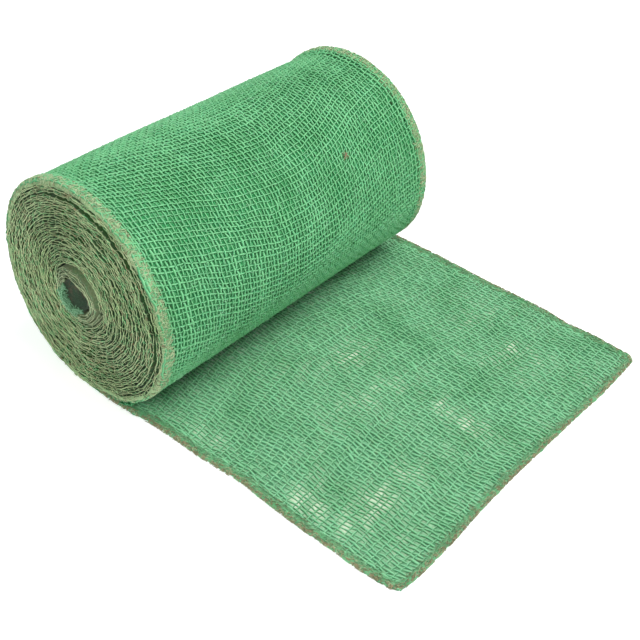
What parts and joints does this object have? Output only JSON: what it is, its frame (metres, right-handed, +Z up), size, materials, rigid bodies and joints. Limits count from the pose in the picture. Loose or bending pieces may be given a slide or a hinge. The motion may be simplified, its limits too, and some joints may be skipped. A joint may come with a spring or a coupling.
{
  "type": "roll of jute netting",
  "caption": "Roll of open-weave green jute netting with overlocked hems, wound without a core tube, its loose end laid flat in front.",
  "frame": {"origin": "on the floor, under the middle of the whole thing", "axes": "+X along the roll's axis towards its tighter end, -Y towards the cut end of the loose netting, +Z up"},
  "size_m": [0.2038, 0.2484, 0.1154],
  "materials": {
    "green_netting": "open plain weave of hairy dyed jute yarn, matt"
  },
  "bodies": {
    "root": {"wound_roll": "green_netting", "loose_end": "green_netting"}
  },
  "joints": []
}
